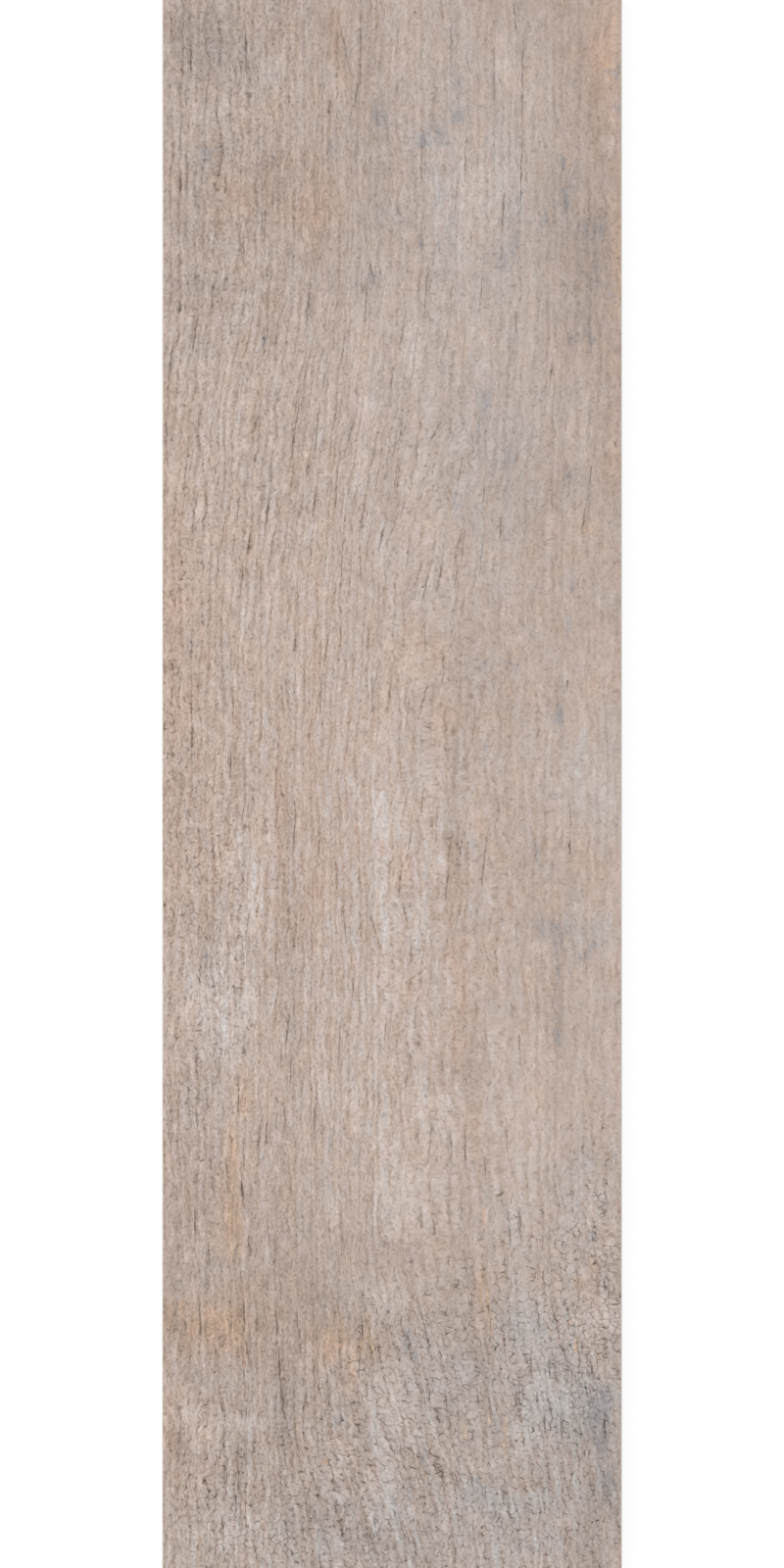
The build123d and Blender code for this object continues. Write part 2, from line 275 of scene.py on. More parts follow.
# The most marked checks, one by one: the middle, half the length, the lean and the darkness
CHECKS = [
    (-80.5, 228, 5, 0, 1), (-84, 288, 8, 0, 0.5), (-76.5, 276, 6, 0, 0.8),
    (-55.5, 279, 9, 0, 0.7), (-59.5, 272, 5, 0, 0.7), (-66.5, 256, 6, 0, 0.7),
    (-78.5, 260, 7, 0, 0.6), (-63.5, 229, 5, 0, 0.7), (-49.5, 218, 14, 0, 0.6),
    (-56.5, 203, 8, 0, 0.8), (-12, 280, 20, 0, 0.6), (-18.5, 283, 15, -13, 0.5),
    (-13.6, 262, 6, 9, 0.8), (-23.8, 258, 4, 6, 0.7), (-7.5, 194, 5, -14, 0.9),
    (-11.5, 192, 7, 0, 0.6), (-10, 183, 8, 3, 0.6), (-75, 171, 7, 8, 0.9), (-84, 163, 8, 8, 0.9),
    (-32, 181, 9, 6, 0.7), (-18.3, 169, 8, 7, 0.6), (-48.8, 169, 6, 0, 0.8),
    (-44, 171, 7, 7, 0.5), (-65, 184, 6, 3, 0.5), (-33, 156, 6, 8, 0.6), (-26, 153, 5, 8, 0.5),
    (-57, 152, 6, 9, 0.5), (49.7, 268, 18, 1, 0.85), (49.2, 232, 14, 1, 1),
    (46.8, 292, 7, -5, 0.7), (28, 240, 12, 2, 0.6), (39, 270, 14, 0, 0.5), (39, 242, 13, 0, 0.4),
    (22.5, 280, 11, 2, 0.5), (2.3, 284, 9, 4, 0.6), (42.3, 218, 8, 2, 0.7),
    (41.5, 202, 5, 2, 0.5), (11.2, 236, 10, 0, 0.6), (24.3, 222, 9, 4, 0.5),
    (13, 188, 13, 4, 0.7), (30.2, 207, 4, 0, 0.6), (4, 172, 9, 8, 0.6), (8.8, 165, 13, 6, 0.6),
    (60.6, 157, 4, 8, 0.9), (34, 190, 13, 5, 0.5), (22.6, 184, 10, 3, 0.6), (47, 177, 4, 0, 0.5),
    (-37, 134, 16, 8, 0.8), (-28.6, 134, 12, 5, 0.7), (-32, 121, 6, 8, 0.9),
    (-51.7, 137, 4, 8, 0.9), (-16.3, 132, 9, 14, 0.7), (-7, 126, 8, 10, 0.6),
    (-86, 133, 8, 0, 0.8), (-79, 128, 4, 0, 0.6), (-67.5, 118, 4, 9, 0.8), (-72, 122, 6, 2, 0.6),
    (-75, 104, 9, 10, 0.7), (-70.5, 106, 5, 0, 0.6), (-58.5, 105, 6, 6, 0.8),
    (-47.5, 103, 6, 5, 0.9), (-60.2, 91, 5, 3, 0.7), (-54.4, 92, 5, 8, 0.8), (-46, 89, 7, 8, 0.6),
    (-64.5, 95, 6, 10, 0.6), (-57, 80, 5, 3, 0.7), (-50.2, 78, 12, 1, 0.6),
    (-29.5, 107, 8, 10, 0.6), (-21, 113, 8, 4, 0.7), (-19, 86, 13, 3, 0.6), (-11, 103, 7, 8, 0.6),
    (-4, 94, 6, 9, 0.8), (-12, 84, 8, 0, 0.6), (-39.5, 65, 8, 4, 0.6), (-24.8, 52, 10, 9, 0.7),
    (-19.5, 55, 6, -3, 0.7), (-27.2, 33, 8, 2, 0.8), (-37, 53, 5, 10, 0.6),
    (-6.5, 39, 9, 12, 0.7), (-9, 55, 5, 3, 0.6), (-60.5, 29, 5, 0, 0.9), (-76.3, 34, 11, 0, 0.6),
    (-76.2, 14, 7, 0, 0.6), (-61.5, 8, 6, 0, 0.9), (-65, 62, 3, 0, 0.6), (-33.5, 38, 9, 0, 0.5),
    (-1, 34, 8, 6, 0.7), (3, 132, 9, 9, 0.6), (1.4, 117, 6, 7, 0.5), (9.5, 126, 6, 0, 0.6),
    (16.5, 134, 5, 28, 0.7), (25.7, 118, 8, 8, 0.6), (33, 134, 6, 5, 0.5), (7, 104, 2.5, 30, 0.7),
    (1.3, 100, 5, 18, 0.6), (27, 90, 8, 6, 0.6), (34, 86, 8, 6, 0.6), (6, 88, 8, 6, 0.6),
    (24.5, 79, 5, 12, 0.6), (18, 78, 8, 12, 0.6), (13, 76, 7, 10, 0.6), (12.6, 57, 8, 0, 0.5),
    (41.2, 97, 5, 4, 0.9), (35, 110, 4, 6, 0.7), (61, 108, 6, 0, 0.6), (75.6, 118, 4, 8, 0.8),
    (73, 101, 6, 8, 0.7), (39.5, 54, 1.6, 0, 1), (85, 129.5, 1.6, 0, 1), (19.5, 44, 8, 2, 0.6),
    (12, 32, 9, 14, 0.6), (31.3, 25, 9, 3, 0.6), (6, 27, 8, 6, 0.5), (66.8, 38, 3, 6, 0.8),
    (-44, -14, 8, 6, 0.6), (-37, -17, 12, 3, 0.7), (-27.5, -22, 6, 5, 0.6), (-55, -54, 7, 8, 0.6),
    (-56.5, -67, 4, 0, 0.7), (-44, -64, 6, 4, 0.6), (-39.5, -92, 8, 5, 0.7),
    (-32, -94, 5, 3, 0.5), (-38.7, -111, 9, 3, 0.6), (-34, -112, 8, 2, 0.5),
    (-58.5, -118, 9, 0, 0.8), (-41, -126, 6, -4, 0.7), (-15, -78, 8, 4, 0.6),
    (-16.5, -93, 6, 10, 0.6), (-20, -98, 9, 2, 0.6), (-2.5, -94, 7, 4, 0.6),
    (-6, -57, 9, -16, 0.8), (-18, -53, 8, -6, 0.6), (-8.5, -100, 8, 8, 0.5),
    (-24.5, -97, 6, 6, 0.5), (-47.8, -132, 6, 4, 0.7), (-69, -144, 4, 0, 1),
    (-63, -145, 4, -6, 0.8), (-56.5, -141, 6, 0, 0.8), (-81, -118, 7, 0, 0.6),
    (-29.5, -128, 6, 0, 0.6), (-74.5, -107, 4, 0, 0.7), (-22.5, -135, 8, 5, 0.5),
    (-50.8, -137, 9, 2, 0.6), (5, -8, 6, 9, 0.7), (6.5, -23, 7, 8, 0.7), (3, -38, 6, 5, 0.7),
    (11.5, -7, 6, 5, 0.6), (17, -15, 8, 3, 0.5), (22.3, -23, 6, 8, 0.7), (21, -38, 7, 8, 0.6),
    (26.3, -24, 6, 6, 0.7), (35, -30, 12, 6, 0.7), (68, -13, 5, -4, 0.7), (67.7, -24, 4, 0, 1),
    (4.9, -49, 5, -12, 0.7), (7.3, -63, 6, -5, 0.6), (47.3, -56, 4, 3, 0.6), (9, -88, 7, 4, 0.5),
    (48.7, -101, 7, -3, 0.8), (7, -105, 3, 10, 0.7), (5.5, -113, 4, 8, 0.6), (32, -85, 4, 0, 0.6),
    (14.5, -136, 8, 5, 0.7), (22.5, -138, 9, -3, 0.6), (28, -139, 8, 0, 0.6),
    (43.7, -134, 8, -3, 0.6), (35.5, -146, 5, 0, 0.7), (-75, -167, 7, -2, 1),
    (-69.5, -180, 6, -4, 1), (-57, -155, 6, -3, 1), (-62.5, -153, 4, 0, 0.8),
    (-56.3, -203, 8, -2, 1.1), (-54.8, -217, 6, -10, 0.8), (-73, -205, 10, -2, 0.7),
    (-78.6, -206, 3, 0, 0.8), (-42.8, -222, 9, -3, 0.9), (-36, -205, 5, -5, 0.7),
    (-44, -205, 6, -3, 0.7), (-41.5, -236, 6, -4, 0.8), (-35, -212, 8, -3, 0.7),
    (-32.5, -233, 6, -5, 0.7), (58, -243, 5, -3, 0.9), (53, -222, 8, -2, 0.8),
    (50, -250, 6, -4, 0.7), (66, -218, 7, -10, 0.8), (55.3, -234, 4, -3, 0.8),
    (60.6, -239, 5, -10, 0.8), (47.2, -235, 4, 0, 0.6), (76, -222, 7, -8, 0.7),
    (-11.3, -207, 6, -4, 1.2), (-64.4, -238, 2.5, 0, 1.1), (-58.5, -262, 12, -1, 0.8),
    (-62.9, -263, 8, 2, 0.8), (-66.8, -256, 3, 0, 0.8), (-64.3, -283, 4, -8, 1.1),
    (-69, -291, 2, -30, 1.2), (-16, -261, 5, -25, 0.6), (-12, -282, 4, -38, 1),
    (-7.5, -290, 4, -38, 1), (-5.5, -273.5, 5, -38, 0.7), (-27, -272, 6, -35, 0.7),
    (-47, -172, 10, -3, 0.6), (-54.5, -175, 6, -6, 0.7), (-81.5, -180, 6, 0, 0.6),
    (-27.5, -296, 4, -5, 0.8), (-12.5, -222, 5, 2, 0.8), (-38.5, -153, 5, 0, 0.6),
    (-6.5, -281, 3, 0, 0.9), (-34, -285, 4, 0, 0.8), (44.7, -170, 10, -5, 0.8),
    (48.8, -168, 8, -3, 0.7), (16.2, -169, 4, -8, 0.9), (55.5, -202, 7, -8, 0.9),
    (62.7, -206, 12, -13, 0.8), (12.3, -206, 8, -14, 0.8), (71, -216, 6, -8, 0.8),
    (48.5, -232, 7, -5, 0.8), (59.8, -223, 4, 0, 0.8), (64.6, -246, 4, -2, 0.9),
    (61, -253, 3, -20, 0.9), (66.5, -267, 7, -14, 1), (75.5, -266, 6, -14, 0.8),
    (82, -272, 4, -28, 0.9), (30.3, -265, 4, -8, 0.8), (25, -266, 5, -18, 0.8),
    (42.5, -272, 4, 0, 0.8), (74, -231, 4, -12, 0.8), (81, -245, 6, -3, 0.9),
    (37.5, -237, 4, -12, 0.8), (32.7, -234, 5, -6, 0.7), (12, -232, 5, -15, 0.7),
    (5, -228, 6, -15, 0.6), (68.5, -228, 6, 0, 0.7), (20.5, -235, 6, -5, 0.6),
    (57.5, -188, 3, 0, 0.8), (81, -191, 3, 0, 0.8), (8, -280, 1.6, 0, 1), (39.5, -278, 2, 0, 1),
]


def deselect_all():
    """Nothing selected, so that the next operator acts only on what it is meant for."""
    bpy.ops.object.select_all(action="DESELECT")


def make_active(piece):
    """This piece alone is selected and active."""
    deselect_all()
    piece.select_set(True)
    bpy.context.view_layer.objects.active = piece


def read_rows(items, name):
    """One measure of each vertex or polygon of a mesh, such as its place, as rows of three."""
    values = np.empty(len(items) * 3)
    items.foreach_get(name, values)
    return values.reshape(-1, 3)


def select_open_edges():
    """In edit mode: the edges where the skin is still open."""
    bpy.ops.mesh.select_mode(type="EDGE")
    bpy.ops.mesh.select_all(action="DESELECT")
    bpy.ops.mesh.select_non_manifold(
        extend=False,
        use_wire=False,
        use_boundary=True,
        use_multi_face=False,
        use_non_contiguous=False,
        use_verts=False,
    )


def pull_rim(drop, width, length, new_width, new_length):
    """In edit mode: pulls the selected rim down, and makes it wider or narrower on the way."""
    bpy.ops.mesh.extrude_region_move(TRANSFORM_OT_translate={"value": (0, 0, -drop)})
    bpy.ops.transform.resize(
        value=(new_width / width, new_length / length, 1),
        center_override=(0, 0, 0),
    )


def pressed_blank():
    """The plank's face as a fine sheet, with bevels and straight sides pulled down from its rim."""
    face_width = WIDTH - 2 * FACE_BEVEL
    face_length = LENGTH - 2 * FACE_BEVEL
    back_width = WIDTH - 2 * BACK_BEVEL
    back_length = LENGTH - 2 * BACK_BEVEL
    deselect_all()
    bpy.ops.mesh.primitive_grid_add(
        x_subdivisions=CELLS_ACROSS,
        y_subdivisions=CELLS_ALONG,
        size=1,
        location=(0, 0, 0),
    )
    blank = bpy.context.object
    blank.name = "wood_look_tile"
    bpy.ops.object.mode_set(mode="EDIT")
    bpy.ops.mesh.select_all(action="SELECT")
    bpy.ops.transform.resize(value=(face_width, face_length, 1), center_override=(0, 0, 0))
    bpy.ops.transform.translate(value=(0, 0, TOP))
    select_open_edges()
    pull_rim(FACE_BEVEL, face_width, face_length, WIDTH, LENGTH)
    pull_rim(TOP - FACE_BEVEL - BACK_BEVEL, WIDTH, LENGTH, WIDTH, LENGTH)
    pull_rim(BACK_BEVEL, WIDTH, LENGTH, back_width, back_length)
    bpy.ops.object.mode_set(mode="OBJECT")
    return blank


def key_pockets():
    """The back's shallow pockets: one is shaped and then repeated in rows each way. Its clipped
    corners come out a little round, as a worn punch leaves them."""
    mouth = POCKET_PITCH - RIB_WIDTH
    wall_run = POCKET_DEPTH * math.tan(POCKET_WALL_SLOPE)
    first_x = -(POCKETS_ACROSS - 1) / 2 * POCKET_PITCH
    first_y = -(POCKETS_ALONG - 1) / 2 * POCKET_PITCH
    deselect_all()
    bpy.ops.mesh.primitive_plane_add(size=mouth, location=(0, 0, 0))
    pockets = bpy.context.object
    bpy.ops.object.mode_set(mode="EDIT")
    bpy.ops.mesh.select_all(action="SELECT")
    bpy.ops.mesh.bevel(offset=POCKET_CORNER, segments=3, affect="VERTICES")
    bpy.ops.mesh.select_all(action="SELECT")
    bpy.ops.mesh.inset(thickness=wall_run, depth=POCKET_DEPTH)
    bpy.ops.mesh.select_all(action="SELECT")
    bpy.ops.transform.translate(value=(first_x, first_y, 0))
    bpy.ops.object.mode_set(mode="OBJECT")
    steps = [(POCKETS_ACROSS, (POCKET_PITCH, 0, 0)), (POCKETS_ALONG, (0, POCKET_PITCH, 0))]
    for count, step in steps:
        row = pockets.modifiers.new("row", "ARRAY")
        row.count = count
        row.use_relative_offset = False
        row.use_constant_offset = True
        row.constant_offset_displace = step
        bpy.ops.object.modifier_apply(modifier=row.name)
    return pockets


def join_back(blank, pockets):
    """Joins the pockets to the blank and fills the ribs between them, which closes the skin."""
    make_active(blank)
    pockets.select_set(True)
    bpy.ops.object.join()
    bpy.ops.object.mode_set(mode="EDIT")
    select_open_edges()
    bpy.ops.mesh.fill()
    bpy.ops.mesh.select_all(action="SELECT")
    bpy.ops.mesh.normals_make_consistent(inside=False)
    bpy.ops.object.mode_set(mode="OBJECT")
    return blank


def patches(across, along, rows):
    """The sum of soft patches at each place of the face, all in millimetres."""
    total = np.zeros(len(across))
    for x, y, reach_x, reach_y, amount in rows:
        total += amount * np.exp(-(((across - x) / reach_x) ** 2) - ((along - y) / reach_y) ** 2)
    return total


def lean_shift(across, along):
    """How far leaning grain has moved sideways at each place, in millimetres."""
    total = np.zeros(len(across))
    for x, y, reach_x, reach_y, lean in LEANING_GRAIN:
        climb = reach_y * np.tanh((along - y) / reach_y)
        beside = np.exp(-(((across - x) / reach_x) ** 2))
        total += math.tan(math.radians(lean)) * climb * beside
    return total


def nearest_check(across, along):
    """How far each place is to the side of its nearest check, in millimetres, and how dark that is."""
    far = 5.0
    reach = 1.3
    side = np.full(len(across), far)
    dark = np.zeros(len(across))
    nearness = np.zeros(len(across))
    for x, y, half, lean, amount in CHECKS:
        off = across - x - math.tan(math.radians(lean)) * (along - y)
        ends = np.clip(1.5 * (1.1 - np.abs(along - y) / half), 0, 1)
        beside = np.clip((reach - np.abs(off)) / 0.5, 0, 1)
        near = amount * ends * np.clip(reach - np.abs(off), 0, reach)
        nearer = near > nearness
        side[nearer] = off[nearer]
        dark[nearer] = (amount * ends * beside)[nearer]
        nearness[nearer] = near[nearer]
    return side, dark


def paint(tile):
    """Writes what the face shows at each of its points into the mesh, for the press and the glaze."""
    mesh = tile.data
    near = 0.01
    across, along, height = read_rows(mesh.vertices, "co").T / MM
    on_face = height > TOP / MM - near
    half_width = (WIDTH / 2 - FACE_BEVEL) / MM
    half_length = (LENGTH / 2 - FACE_BEVEL) / MM
    check_side, check_dark = nearest_check(across, along)
    # The whole face is a little coarse, brown and open to start with, and the patches add to that.
    layers = {
        "grain_shift": lean_shift(across, along),
        "tone": patches(across, along, TONES),
        "warmth": patches(across, along, WARMTHS),
        "coarse": 0.6 + patches(across, along, COARSE_GRAIN),
        "brown": 1.0 + patches(across, along, BROWN_GRAIN),
        "pores": np.clip(0.3 + patches(across, along, OPEN_PORES), 0, 1),
        "crazing": np.clip(patches(across, along, CRAZING), 0, 1.3),
        "plates": np.clip(patches(across, along, PLATES), 0, 1.3),
        "check_side": check_side,
        "check_dark": check_dark,
        "limewash": np.clip(patches(across, along, LIMEWASH), 0, 1),
        "stain": np.clip(patches(across, along, STAINS), 0, 1.2),
        "bare_wood": np.clip(patches(across, along, BARE_WOOD), 0, 1.2),
        "face": on_face.astype(float),
        "rim_x": on_face * np.sign(across) * (np.abs(across) > half_width - near),
        "rim_y": on_face * np.sign(along) * (np.abs(along) > half_length - near),
    }
    for name, values in layers.items():
        layer = mesh.attributes.new(name, "FLOAT", "POINT")
        layer.data.foreach_set("value", np.ascontiguousarray(values, dtype=np.float32))


def add_node(tree, kind, inputs, **settings):
    """Adds a node with its settings, sets or links its inputs, by their name or number, and gives
    back its outputs."""
    node = tree.nodes.new(kind)
    for name, value in settings.items():
        setattr(node, name, value)
    for name, value in inputs.items():
        socket = node.inputs[name]
        if isinstance(value, bpy.types.NodeSocket):
            tree.links.new(value, socket)
        else:
            socket.default_value = value
    return node.outputs


def grain_noise(tree, place, width, length, seed, detail=2.0, roughness=0.5):
    """Noise drawn out along the grain. Width and length are its usual size in millimetres."""
    inputs = {0: place, 1: (1 / width, 1 / length, 1), 2: (seed * 7.31, seed * 3.17, 0)}
    drawn_out = add_node(tree, "ShaderNodeVectorMath", inputs, operation="MULTIPLY_ADD")[0]
    inputs = {"Vector": drawn_out, "Scale": 1.0, "Detail": detail, "Roughness": roughness}
    return add_node(tree, "ShaderNodeTexNoise", inputs, noise_dimensions="2D")[0]


def solid_noise(tree, place, sizes, seed):
    """Noise through the body, of a usual size each way in millimetres."""
    factors = tuple(1 / size for size in sizes)
    inputs = {0: place, 1: factors, 2: (seed * 5.7, seed * 3.3, seed)}
    sized = add_node(tree, "ShaderNodeVectorMath", inputs, operation="MULTIPLY_ADD")[0]
    return add_node(tree, "ShaderNodeTexNoise", {"Vector": sized, "Scale": 1.0, "Detail": 2.0})[0]


def mixed_in(tree, total, layers):
    """The total with each pattern added at its strength, which may be a pattern too."""
    for pattern, strength in layers:
        inputs = {0: pattern, 1: strength, 2: total}
        total = add_node(tree, "ShaderNodeMath", inputs, operation="MULTIPLY_ADD")[0]
    return total


def masked(tree, pattern, masks):
    """A pattern that shows only as far as each of its masks lets it."""
    for mask in masks:
        pattern = add_node(tree, "ShaderNodeMath", {0: pattern, 1: mask}, operation="MULTIPLY")[0]
    return pattern


def cut_softly(tree, total, layers, low, high):
    """Patterns added to a total and then cut out: nought where the sum is below the low value, one
    where it is above the high one, and a soft step between them."""
    inputs = {"Value": mixed_in(tree, total, layers), "From Min": low, "From Max": high}
    return add_node(tree, "ShaderNodeMapRange", inputs, interpolation_type="SMOOTHSTEP")[0]


def centred(tree, noises, marks):
    """Noises added about nought, each by its strength, and marks added on top."""
    start = -sum(strength for noise, strength in noises) / 2
    return mixed_in(tree, start, noises + marks)


def off_grain_line(tree, place, gap, seed):
    """How far a place is from the nearest line of the grain, in millimetres."""
    across = add_node(tree, "ShaderNodeSeparateXYZ", {0: place})[0]
    in_gaps = mixed_in(tree, seed * 11.7, [(across, 1 / gap)])
    lines = add_node(
        tree,
        "ShaderNodeTexVoronoi",
        {"W": in_gaps, "Scale": 1.0, "Randomness": 0.85},
        voronoi_dimensions="1D",
        feature="DISTANCE_TO_EDGE",
    )
    return mixed_in(tree, 0.0, [(lines["Distance"], gap)])


def on_ridge(tree, place):
    """Nought at a main line of the grain, and one from 1.2 mm off it, on the ridge between two."""
    off_line = off_grain_line(tree, place, LINE_GAP_MM, LINE_SEED)
    return cut_softly(tree, off_line, [], 0.2, 1.2)


def shaken(tree, place):
    """The place moved about a little, by up to 0.8 mm over 3 mm, as grain wanders."""
    throw = 1.6
    inputs = {"Vector": place, "Scale": 1.0 / 3.0, "Detail": 2.0, "Roughness": 0.65}
    noise = add_node(tree, "ShaderNodeTexNoise", inputs, noise_dimensions="2D")
    inputs = {0: noise["Color"], 1: (throw, throw, 0), 2: place}
    return add_node(tree, "ShaderNodeVectorMath", inputs, operation="MULTIPLY_ADD")[0]


def press_grain(tile):
    """Stamps the broad grain into the face, as the press plate does, and keeps where it went."""
    tree = bpy.data.node_groups.new("pressed_grain", "GeometryNodeTree")
    tree.interface.new_socket("Geometry", in_out="INPUT", socket_type="NodeSocketGeometry")
    tree.interface.new_socket("Geometry", in_out="OUTPUT", socket_type="NodeSocketGeometry")
    blank = add_node(tree, "NodeGroupInput", {})[0]
    position = add_node(tree, "GeometryNodeInputPosition", {})[0]
    inputs = {0: position, "Scale": 1 / MM}
    in_mm = add_node(tree, "ShaderNodeVectorMath", inputs, operation="SCALE")[0]
    painted = {}
    for name in ["grain_shift", "coarse", "face", "rim_x", "rim_y"]:
        inputs = {"Name": name}
        layer = add_node(tree, "GeometryNodeInputNamedAttribute", inputs, data_type="FLOAT")
        painted[name] = layer[0]
    # Strands wander by up to about 2 mm over stretches of 50 mm and more, and a little over 15 mm.
    strays = [
        (grain_noise(tree, in_mm, 24, 70, 1), 5.0),
        (grain_noise(tree, in_mm, 9, 17, 8), 4.0),
    ]
    flat = add_node(tree, "ShaderNodeSeparateXYZ", {0: in_mm})
    shifts = [(painted["grain_shift"], -1.0), (centred(tree, strays, []), 1.0)]
    across = mixed_in(tree, flat[0], shifts)
    grain_place = add_node(tree, "ShaderNodeCombineXYZ", {0: across, 1: flat[1]})[0]
    ridge = on_ridge(tree, shaken(tree, grain_place))
    broad = grain_noise(tree, grain_place, 5.0, 70, 2, detail=3.0, roughness=0.6)
    swell = cut_softly(tree, broad, [], 0.3, 0.62)
    hollow = mixed_in(tree, 1.0, [(ridge, -0.45), (swell, -0.55)])
    # Coarser grain is pressed deeper, and the finest would still have 0.4 of the full depth.
    depths = {"To Min": 0.4 * GRAIN_DEPTH_MM * MM, "To Max": GRAIN_DEPTH_MM * MM}
    depth = add_node(tree, "ShaderNodeMapRange", {"Value": painted["coarse"], **depths})[0]
    drop = masked(tree, hollow, [depth, painted["face"]])
    # The bevel is ground after the grain is pressed, so it starts further out where the face dips.
    ways = {0: painted["rim_x"], 1: painted["rim_y"], 2: -1.0}
    outwards = add_node(tree, "ShaderNodeCombineXYZ", ways)[0]
    inputs = {0: outwards, "Scale": drop}
    move = add_node(tree, "ShaderNodeVectorMath", inputs, operation="SCALE")[0]
    with_across = add_node(
        tree,
        "GeometryNodeStoreNamedAttribute",
        {"Geometry": blank, "Name": "across_grain", "Value": across},
        data_type="FLOAT",
        domain="POINT",
    )[0]
    inputs = {"Geometry": with_across, "Offset": move}
    stamped = add_node(tree, "GeometryNodeSetPosition", inputs)[0]
    add_node(tree, "NodeGroupOutput", {0: stamped})
    press = tile.modifiers.new("press", "NODES")
    press.node_group = tree
    make_active(tile)
    bpy.ops.object.modifier_apply(modifier=press.name)


def linear(colour):
    """An sRGB hex colour as the linear values that a shader takes."""
    parts = [int(colour[i : i + 2], 16) / 255 for i in (1, 3, 5)]
    return tuple(p / 12.92 if p <= 0.04045 else ((p + 0.055) / 1.055) ** 2.4 for p in parts) + (1,)


def new_material(name):
    """An empty material and its node tree."""
    material = bpy.data.materials.new(name)
    material.use_nodes = True
    material.node_tree.nodes.clear()
    return material, material.node_tree


def place_in_mm(tree):
    """Where a point of the object is, in millimetres."""
    coords = add_node(tree, "ShaderNodeTexCoord", {})
    inputs = {0: coords["Object"], "Scale": 1 / MM}
    return add_node(tree, "ShaderNodeVectorMath", inputs, operation="SCALE")[0]


def surfaced(tree, colour, lightness, roughness, height, depth, strength):
    """The surface that light meets: its colour, lighter or darker from place to place, how matt it
    is, and relief that is too fine for the mesh."""
    inputs = {0: colour, "Scale": lightness}
    shaded = add_node(tree, "ShaderNodeVectorMath", inputs, operation="SCALE")[0]
    inputs = {"Strength": strength, "Distance": depth, "Height": height}
    relief = add_node(tree, "ShaderNodeBump", inputs)[0]
    inputs = {"Base Color": shaded, "Roughness": roughness, "IOR": 1.5, "Normal": relief}
    shader = add_node(tree, "ShaderNodeBsdfPrincipled", inputs)[0]
    add_node(tree, "ShaderNodeOutputMaterial", {"Surface": shader})


def grain_line(tree, place, gap, width, length, seed, amount):
    """A set of dark hairlines along the grain, a gap apart, each in dashes of uneven darkness."""
    uneven = grain_noise(tree, place, gap * 0.6, length, seed, 3.0, 0.6)
    dashes = cut_softly(tree, uneven, [], 0.42, 0.62)
    off_line = off_grain_line(tree, place, gap, seed)
    profile = cut_softly(tree, off_line, [(dashes, -0.2)], width, -0.1)
    dark = mixed_in(tree, 0.2, [(dashes, 0.8)])
    run = grain_noise(tree, place, gap, length * 6, seed + 1)
    running = cut_softly(tree, -0.62, [(run, 1.0), (amount, 0.24)], 0.0, 0.16)
    return masked(tree, profile, [dark, running])


def crackle(tree, place, cell, stretch, gaps, width, unevenness, amount):
    """A net of fine cracks, as old paint crazes: nearly whole where it is bad, odd hooks elsewhere.
    Its unevenness is two noises: one breaks the cracks, and the other says where they show."""
    broken, gate = unevenness
    inputs = {0: place, 1: (1 / cell, 1 / (cell * stretch), 0), 2: (51, 51, 0)}
    in_cells = add_node(tree, "ShaderNodeVectorMath", inputs, operation="MULTIPLY_ADD")[0]
    net = add_node(
        tree,
        "ShaderNodeTexVoronoi",
        {"Vector": in_cells, "Scale": 1.0, "Randomness": 1.0},
        feature="DISTANCE_TO_EDGE",
        voronoi_dimensions="2D",
    )
    layers = [(net["Distance"], cell), (broken, -gaps)]
    profile = cut_softly(tree, 0.0, layers, width - 0.46 * gaps, -0.02 - 0.68 * gaps)
    shown = cut_softly(tree, -0.74, [(gate, 1.0), (amount, 0.4)], -0.08, 0.14)
    return masked(tree, profile, [shown])


